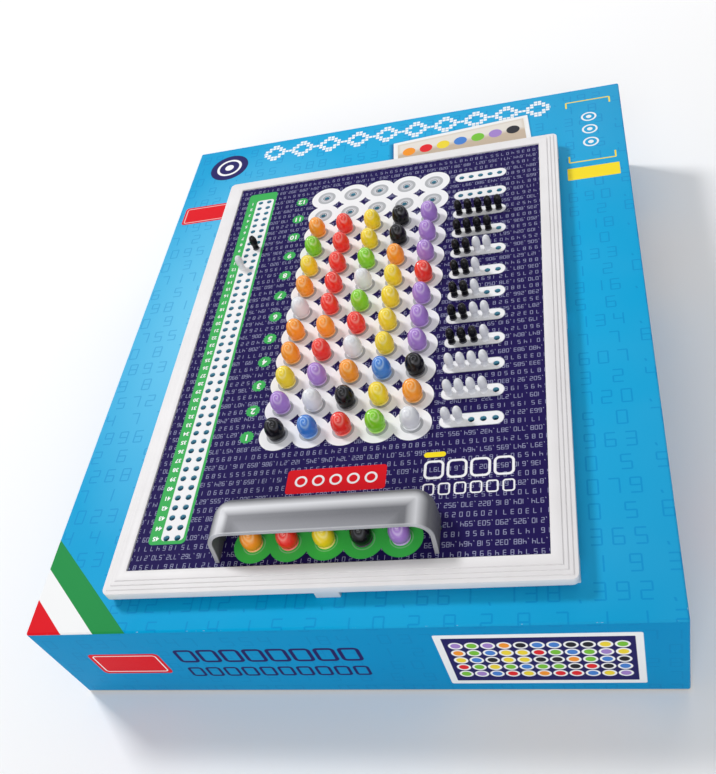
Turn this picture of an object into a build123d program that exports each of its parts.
from build123d import *
import math
import os

# Code breaking peg game, set up for play on the lid of its own closed carton.
# Sizes are in millimetres. X runs along the board's short side, Y away from the
# player who hides the code, and Z up. The origin is the middle of the carton's underside.

# Grid of holes. Every hole stands on a fine grid, three steps to one guess peg pitch.
pitch = 16.5
steps_per_pitch = 3
guess_columns = 5
guess_rows = 12
feedback_columns = 5
track_columns = 2
track_rows = 45
feedback_gap_steps = 3
track_left_steps = 8
track_near_steps = 10
code_near_steps = 11

# From the outermost holes to the edges of the board
left_margin = 25.5
right_margin = 33.0
near_margin = 26.9
far_margin = 26.1

# Carton of wrapped board, a tray under a lid of full depth
carton_width = 284.0
carton_length = 365.0
carton_height = 62.0
board_stock = 1.6
lid_clearance = 0.8
lid_hem = 1.0
lid_edge_wear = 0.7

# Playing board: a white moulded frame round a printed panel
carton_near_margin = 14.0
border = 10.4
board_corner_radius = 3.0
slab_height = 6.8
terrace_count = 3
terrace_tread = 1.9
terrace_drop = 0.7
frame_wall = 2.0
lip = 0.8
ledge = 3.0
foot_height = 4.0
foot_length = 11.0
panel_thickness = 2.4
panel_gap = 0.2

# Holes and the pegs that stand in them
hole_radius = 1.6
hole_sides = 6
small_hole_sides = 4
stem_sides = 4
stem_clearance = 0.28
stem_length = 4.6
guess_peg_radius = 4.7
guess_peg_height = 11.2
guess_peg_sides = 8
guess_peg_height_shares = (0, 0.36, 0.76, 1)
guess_peg_radius_shares = (0.76, 1, 0.76, 0.26)
small_peg_radius = 2.2
small_peg_height = 9.6
small_peg_sides = 6
small_peg_height_shares = (0, 0.39, 0.39, 0.74, 1)
small_peg_radius_shares = (0.8, 0.76, 1, 0.92, 0.36)

# Pegs in play: how many stand in each row, and how many columns and rows of the track
# lie before each of the two count pegs
filled_rows = 10
feedback_counts = (2, 4, 4, 4, 4, 3, 3, 4, 4, 5)
black_column_count = 1
black_row_count = 36
white_column_count = 0
white_row_count = 33

# Code shield, a thin grey hood that is open to the near side and below
shield_depth = 24.3
shield_height = 18.5
shield_wall = 1.8
shield_front_reach = 8.5
shield_edge_radius = 9.5
shield_brow_setback = 2.8
shield_brow_bow_share = 0.8

# Peg tray and rules leaflet, stored inside the carton
tray_width = 66.0
tray_length = 330.0
tray_height = 38.0
tray_wall = 1.5
tray_floor = 1.8
tray_bays = 8
tray_corner_radius = 4.0
tray_side_gap = 0.6
leaflet_width = 148.0
leaflet_length = 210.0
leaflet_thickness = 0.9

# Values worked out from the ones above
step = pitch / steps_per_pitch
feedback_left_steps = track_left_steps + (guess_columns - 1) * steps_per_pitch + feedback_gap_steps
board_width = left_margin + (feedback_left_steps + feedback_columns - 1) * step + right_margin
board_length = near_margin + (track_rows - 1) * step + far_margin
board_y = -carton_length / 2 + carton_near_margin + board_length / 2
foot_z = carton_height
slab_z = foot_z + foot_height
board_top = slab_z + slab_height
panel_top = board_top - lip
panel_width = board_width - 2 * border
panel_length = board_length - 2 * border
track_x = left_margin - board_width / 2
track_y = board_y - board_length / 2 + near_margin
column_x = track_x + track_left_steps * step
row_y = track_y + track_near_steps * step
feedback_x = track_x + feedback_left_steps * step
code_y = row_y - code_near_steps * step
stem_radius = hole_radius * math.cos(math.pi / hole_sides) - stem_clearance
shield_width = (guess_columns + 1) * pitch
shield_x = column_x + (guess_columns - 1) * pitch / 2
shield_y = code_y - shield_front_reach + shield_depth / 2
inner_width = carton_width - 4 * board_stock - 2 * lid_clearance
inner_length = carton_length - 4 * board_stock - 2 * lid_clearance
tray_x = inner_width / 2 - tray_side_gap - tray_width / 2

guess_spots = [
    (column_x + column * pitch, row_y + row * pitch)
    for row in range(guess_rows)
    for column in range(guess_columns)
]
feedback_spots = [
    (feedback_x + column * step, row_y + row * pitch)
    for row in range(guess_rows)
    for column in range(feedback_columns)
]
code_spots = [(column_x + column * pitch, code_y) for column in range(guess_columns)]
track_spots = [
    (track_x + column * step, track_y + row * step)
    for row in range(track_rows)
    for column in range(track_columns)
]
shield_pin_x = (shield_width - shield_wall) / 2
shield_pin_spots = [(shield_x - shield_pin_x, shield_y), (shield_x + shield_pin_x, shield_y)]

os.makedirs("parts", exist_ok=True)


# Carton tray: an open box of plain board that carries everything stored inside
with BuildPart() as carton_tray:
    with BuildSketch():
        Rectangle(inner_width + 2 * board_stock, inner_length + 2 * board_stock)
    extrude(amount=carton_height - board_stock)
    with BuildSketch(Plane.XY.offset(board_stock)):
        Rectangle(inner_width, inner_length)
    extrude(amount=carton_height, mode=Mode.SUBTRACT)
carton_tray.part.label = "carton_tray"
export_step(carton_tray.part, "parts/carton_tray.step")

# Carton lid: its walls come down all round the tray to just above the table
with BuildPart() as carton_lid:
    with BuildSketch(Plane.XY.offset(lid_hem)):
        Rectangle(carton_width, carton_length)
    extrude(amount=carton_height - lid_hem)
    chamfer(carton_lid.edges().filter_by(Axis.Z), length=lid_edge_wear)
    chamfer(carton_lid.faces().sort_by(Axis.Z)[-1].edges(), length=lid_edge_wear)
    with BuildSketch(Plane.XY.offset(lid_hem)):
        Rectangle(carton_width - 2 * board_stock, carton_length - 2 * board_stock)
    extrude(amount=carton_height - lid_hem - board_stock, mode=Mode.SUBTRACT)
carton_lid.part.label = "carton_lid"
export_step(carton_lid.part, "parts/carton_lid.step")

# Peg tray: one long moulded box with a bay for each colour, the near bay split in two
bay_length = (tray_length - (tray_bays + 1) * tray_wall) / tray_bays
bay_width = tray_width - 2 * tray_wall
half_bay_width = (bay_width - tray_wall) / 2
with BuildPart() as peg_tray:
    with BuildSketch(Plane.XY.offset(board_stock)):
        with Locations((tray_x, 0)):
            RectangleRounded(tray_width, tray_length, tray_corner_radius)
    extrude(amount=tray_height)
    with BuildSketch(Plane.XY.offset(board_stock + tray_floor)):
        for bay in range(1, tray_bays):
            bay_y = (bay - (tray_bays - 1) / 2) * (bay_length + tray_wall)
            with Locations((tray_x, bay_y)):
                Rectangle(bay_width, bay_length)
        near_bay_y = -(tray_bays - 1) / 2 * (bay_length + tray_wall)
        for side in (-1, 1):
            with Locations((tray_x + side * (half_bay_width + tray_wall) / 2, near_bay_y)):
                Rectangle(half_bay_width, bay_length)
    extrude(amount=tray_height, mode=Mode.SUBTRACT)
peg_tray.part.label = "peg_tray"
export_step(peg_tray.part, "parts/peg_tray.step")

# Rules leaflet: a folded sheet that lies flat on the carton's floor
with BuildPart() as rules_leaflet:
    with BuildSketch(Plane.XY.offset(board_stock)):
        with Locations(((tray_x - tray_width / 2 - inner_width / 2) / 2, 0)):
            Rectangle(leaflet_width, leaflet_length)
    extrude(amount=leaflet_thickness)
rules_leaflet.part.label = "rules_leaflet"
export_step(rules_leaflet.part, "parts/rules_leaflet.step")

# Board frame: terraced rim, hollow skirt, inner ledge for the panel, and feet
with BuildPart() as board_frame:
    with BuildSketch(Plane.XY.offset(slab_z)):
        with Locations((0, board_y)):
            RectangleRounded(board_width, board_length, board_corner_radius)
    extrude(amount=slab_height - terrace_count * terrace_drop)
    for terrace in range(1, terrace_count + 1):
        inset = terrace * terrace_tread
        with BuildSketch(Plane.XY.offset(slab_z)):
            with Locations((0, board_y)):
                Rectangle(board_width - 2 * inset, board_length - 2 * inset)
        extrude(amount=slab_height - (terrace_count - terrace) * terrace_drop)
    with BuildSketch(Plane.XY.offset(slab_z)):
        with Locations((0, board_y)):
            Rectangle(board_width - 2 * frame_wall, board_length - 2 * frame_wall)
            Rectangle(panel_width + 2 * frame_wall, panel_length + 2 * frame_wall, mode=Mode.SUBTRACT)
    extrude(amount=slab_height - terrace_count * terrace_drop - frame_wall, mode=Mode.SUBTRACT)
    with BuildSketch(Plane.XY.offset(panel_top - panel_thickness)):
        with Locations((0, board_y)):
            Rectangle(panel_width, panel_length)
    extrude(amount=panel_thickness + lip, mode=Mode.SUBTRACT)
    with BuildSketch(Plane.XY.offset(slab_z)):
        with Locations((0, board_y)):
            Rectangle(panel_width - 2 * ledge, panel_length - 2 * ledge)
    extrude(amount=slab_height, mode=Mode.SUBTRACT)
    # Feet under the skirt: two on each side, at the corners and at mid length
    foot_x = (board_width - frame_wall) / 2
    foot_y = (board_length - frame_wall) / 2
    corner_inset = board_corner_radius + foot_length / 2
    with BuildSketch(Plane.XY.offset(foot_z)):
        for side in (-1, 1):
            with Locations(
                (side * foot_x, board_y),
                (side * foot_x, board_y - board_length / 2 + corner_inset),
                (side * foot_x, board_y + board_length / 2 - corner_inset),
            ):
                Rectangle(frame_wall, foot_length)
            with Locations((0, board_y + side * foot_y)):
                Rectangle(foot_length, frame_wall)
    extrude(amount=foot_height)
board_frame.part.label = "board_frame"
export_step(board_frame.part, "parts/board_frame.step")

# Peg panel: the printed plate, pierced for every peg and for the shield's two pins
with BuildPart() as peg_panel:
    with BuildSketch(Plane.XY.offset(panel_top - panel_thickness)):
        with Locations((0, board_y)):
            Rectangle(panel_width - 2 * panel_gap, panel_length - 2 * panel_gap)
        with Locations(*guess_spots, *code_spots, *shield_pin_spots):
            RegularPolygon(hole_radius, hole_sides, mode=Mode.SUBTRACT)
        with Locations(*feedback_spots, *track_spots):
            RegularPolygon(hole_radius, small_hole_sides, mode=Mode.SUBTRACT)
    extrude(amount=panel_thickness)
peg_panel.part.label = "peg_panel"
export_step(peg_panel.part, "parts/peg_panel.step")

# Code shield: rounded at the back and the ends, with side walls that lean forward at the foot
with BuildPart() as code_shield:
    with BuildSketch(Plane.XY.offset(panel_top)):
        with Locations((shield_x, shield_y)):
            Rectangle(shield_width, shield_depth)
    extrude(amount=shield_height)
    back_corners = code_shield.edges().filter_by(Axis.Z).group_by(Axis.Y)[-1]
    top_edges = code_shield.faces().sort_by(Axis.Z)[-1].edges().sort_by(Axis.Y)[1:]
    fillet(back_corners + top_edges, radius=shield_edge_radius)
    front_face = code_shield.faces().sort_by(Axis.Y)[0]
    bottom_face = code_shield.faces().sort_by(Axis.Z)[0]
    offset(amount=-shield_wall, openings=[front_face, bottom_face])
    front_y = shield_y - shield_depth / 2
    with BuildSketch(Plane.YZ.offset(shield_x)):
        with BuildLine():
            foot = (front_y, panel_top)
            brow = (front_y + shield_brow_setback, panel_top + shield_height)
            middle_y = front_y + shield_brow_setback * shield_brow_bow_share
            middle = (middle_y, panel_top + shield_height / 2)
            ThreePointArc(foot, middle, brow)
            Polyline(brow, (front_y, panel_top + shield_height), foot)
        make_face()
    extrude(amount=shield_width, both=True, mode=Mode.SUBTRACT)
    with BuildSketch(Plane.XY.offset(panel_top)):
        with Locations(*shield_pin_spots):
            RegularPolygon(stem_radius, stem_sides, rotation=45)
    extrude(amount=-stem_length)
code_shield.part.label = "code_shield"
export_step(code_shield.part, "parts/code_shield.step")


def peg_at_origin(radius, height, radius_shares, height_shares, sides):
    """One peg: a moulded head of tapered bands with its foot at the origin, and a stem below it."""
    flat_share = math.cos(math.pi / sides)
    with BuildPart() as peg:
        for band in range(len(height_shares) - 1):
            low, high = (height * share for share in height_shares[band:band + 2])
            foot_radius, top_radius = (radius * share for share in radius_shares[band:band + 2])
            draw_in = (foot_radius - top_radius) * flat_share
            if high > low:
                # a band is drawn in upward from its wider end, and turned over if that end is on top
                widens = draw_in < 0
                with BuildSketch(Plane.XY.offset(-high if widens else low)):
                    RegularPolygon(max(foot_radius, top_radius), sides)
                taper = math.degrees(math.atan2(abs(draw_in), high - low))
                piece = extrude(amount=high - low, taper=taper, mode=Mode.PRIVATE)
                if widens:
                    mirror(piece, about=Plane.XY)
                else:
                    add(piece)
        with BuildSketch(Plane.XY):
            RegularPolygon(stem_radius, stem_sides)
        extrude(amount=-stem_length)
    return peg.part


def pegs_at(peg, spots, name):
    """Copies of one peg, standing on the panel at the given spots, as one node."""
    with BuildPart() as group:
        with Locations(*[(x, y, panel_top) for x, y in spots]):
            add(peg)
    group.part.label = name
    export_step(group.part, f"parts/{name}.step")


guess_peg = peg_at_origin(
    guess_peg_radius, guess_peg_height, guess_peg_radius_shares, guess_peg_height_shares, guess_peg_sides
)
small_peg = peg_at_origin(
    small_peg_radius, small_peg_height, small_peg_radius_shares, small_peg_height_shares, small_peg_sides
)

# The hidden code under the shield, and the guess and feedback rows played so far
pegs_at(guess_peg, code_spots, "code_pegs")
for row in range(filled_rows):
    first_guess = row * guess_columns
    pegs_at(guess_peg, guess_spots[first_guess:first_guess + guess_columns], f"guess_row_{row + 1:02d}")
    first_feedback = row * feedback_columns
    last_feedback = first_feedback + feedback_counts[row]
    pegs_at(small_peg, feedback_spots[first_feedback:last_feedback], f"feedback_row_{row + 1:02d}")

# The two pegs that keep count on the long track
black_index = black_row_count * track_columns + black_column_count
white_index = white_row_count * track_columns + white_column_count
pegs_at(small_peg, [track_spots[black_index]], "count_peg_black")
pegs_at(small_peg, [track_spots[white_index]], "count_peg_white")
